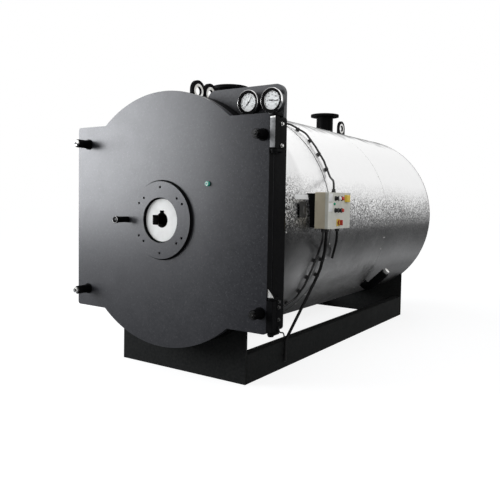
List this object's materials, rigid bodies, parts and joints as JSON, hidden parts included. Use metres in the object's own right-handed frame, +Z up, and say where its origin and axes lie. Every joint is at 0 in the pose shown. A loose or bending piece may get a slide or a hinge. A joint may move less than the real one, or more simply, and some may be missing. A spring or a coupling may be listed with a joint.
{
  "type": "industrial boiler",
  "caption": "Horizontal fire-tube hot-water boiler with hinged front door, burner flange, embossed aluminium cladding, dial gauges, control box and channel base.",
  "frame": {"origin": "on the floor under the middle of the overall box", "axes": "+X to the right seen from the front (hinge and control box side), +Y from the front door to the rear, +Z up"},
  "size_m": [1.878, 3.753, 2.123],
  "materials": {
    "door_paint": "satin",
    "frame_paint": "satin",
    "base_paint": "satin",
    "refractory": "rough cast",
    "fibre_board": "fibrous matt",
    "plug_paint": "satin",
    "bright_steel": "zinc plated",
    "hinge_steel": "worn satin",
    "boiler_steel": "mill scale",
    "mineral_wool": "fibrous",
    "stucco_aluminium": "stucco embossed",
    "gauge_black": "gloss",
    "dial_white": "printed dial",
    "gauge_glass": "clear",
    "box_beige": "fine texture",
    "lid_grey": "fine texture",
    "switch_black": "gloss",
    "isolator_yellow": "gloss",
    "isolator_red": "gloss",
    "tag_metal": "plain sheet",
    "cable_black": "matt"
  },
  "bodies": {
    "boiler": {"frame_hinges": "frame_paint", "hinge_pins": "bright_steel", "front_frame": "frame_paint", "front_tube_plate": "boiler_steel", "rear_tube_plate": "boiler_steel", "smoke_tubes": "boiler_steel", "furnace_tube": "boiler_steel", "furnace_end": "boiler_steel", "pressure_shell": "boiler_steel", "insulation": "mineral_wool", "rear_insulation": "mineral_wool", "cladding_front": "stucco_aluminium", "cladding_middle": "stucco_aluminium", "cladding_rear": "stucco_aluminium", "smoke_box": "frame_paint", "smoke_box_cover": "frame_paint", "flue_spigot": "frame_paint", "front_saddle": "base_paint", "rear_saddle": "base_paint", "base_beams": "base_paint", "gauge_panel": "door_paint", "gauge_cases": "gauge_black", "gauge_dials": "dial_white", "gauge_glasses": "gauge_glass", "front_nozzle": "frame_paint", "rear_nozzle": "frame_paint", "lifting_lugs": "frame_paint", "control_box": "box_beige", "control_lid": "lid_grey", "control_struts": "bright_steel", "control_switches": "switch_black", "isolator_plate": "isolator_yellow", "tag_plate": "tag_metal", "drain_pipe": "frame_paint", "drain_cap": "bright_steel", "signal_cable": "cable_black", "burner_cable": "cable_black", "trunk_cable": "cable_black", "conduit": "cable_black", "earth_wire": "cable_black", "cable_pads": "cable_black"},
    "door": {"door_plate": "door_paint", "door_lining": "refractory", "burner_ring": "door_paint", "burner_plug": "fibre_board", "sight_tube": "frame_paint", "test_plug": "plug_paint", "clamp_sleeves": "frame_paint", "clamp_nuts": "bright_steel", "door_hinges": "hinge_steel"},
    "isolator": {"isolator_handle": "isolator_red"}
  },
  "joints": [
    {"name": "door_hinge", "type": "hinge", "parent": "boiler", "child": "door", "pos_m": [0.801, -1.7465, 1.09], "axis": [0, 0, 1], "range_deg": [0, 105]},
    {"name": "isolator_turn", "type": "hinge", "parent": "boiler", "child": "isolator", "pos_m": [0.904, -1.0555, 1.093], "axis": [1, 0, 0], "range_deg": [0, 90]}
  ]
}
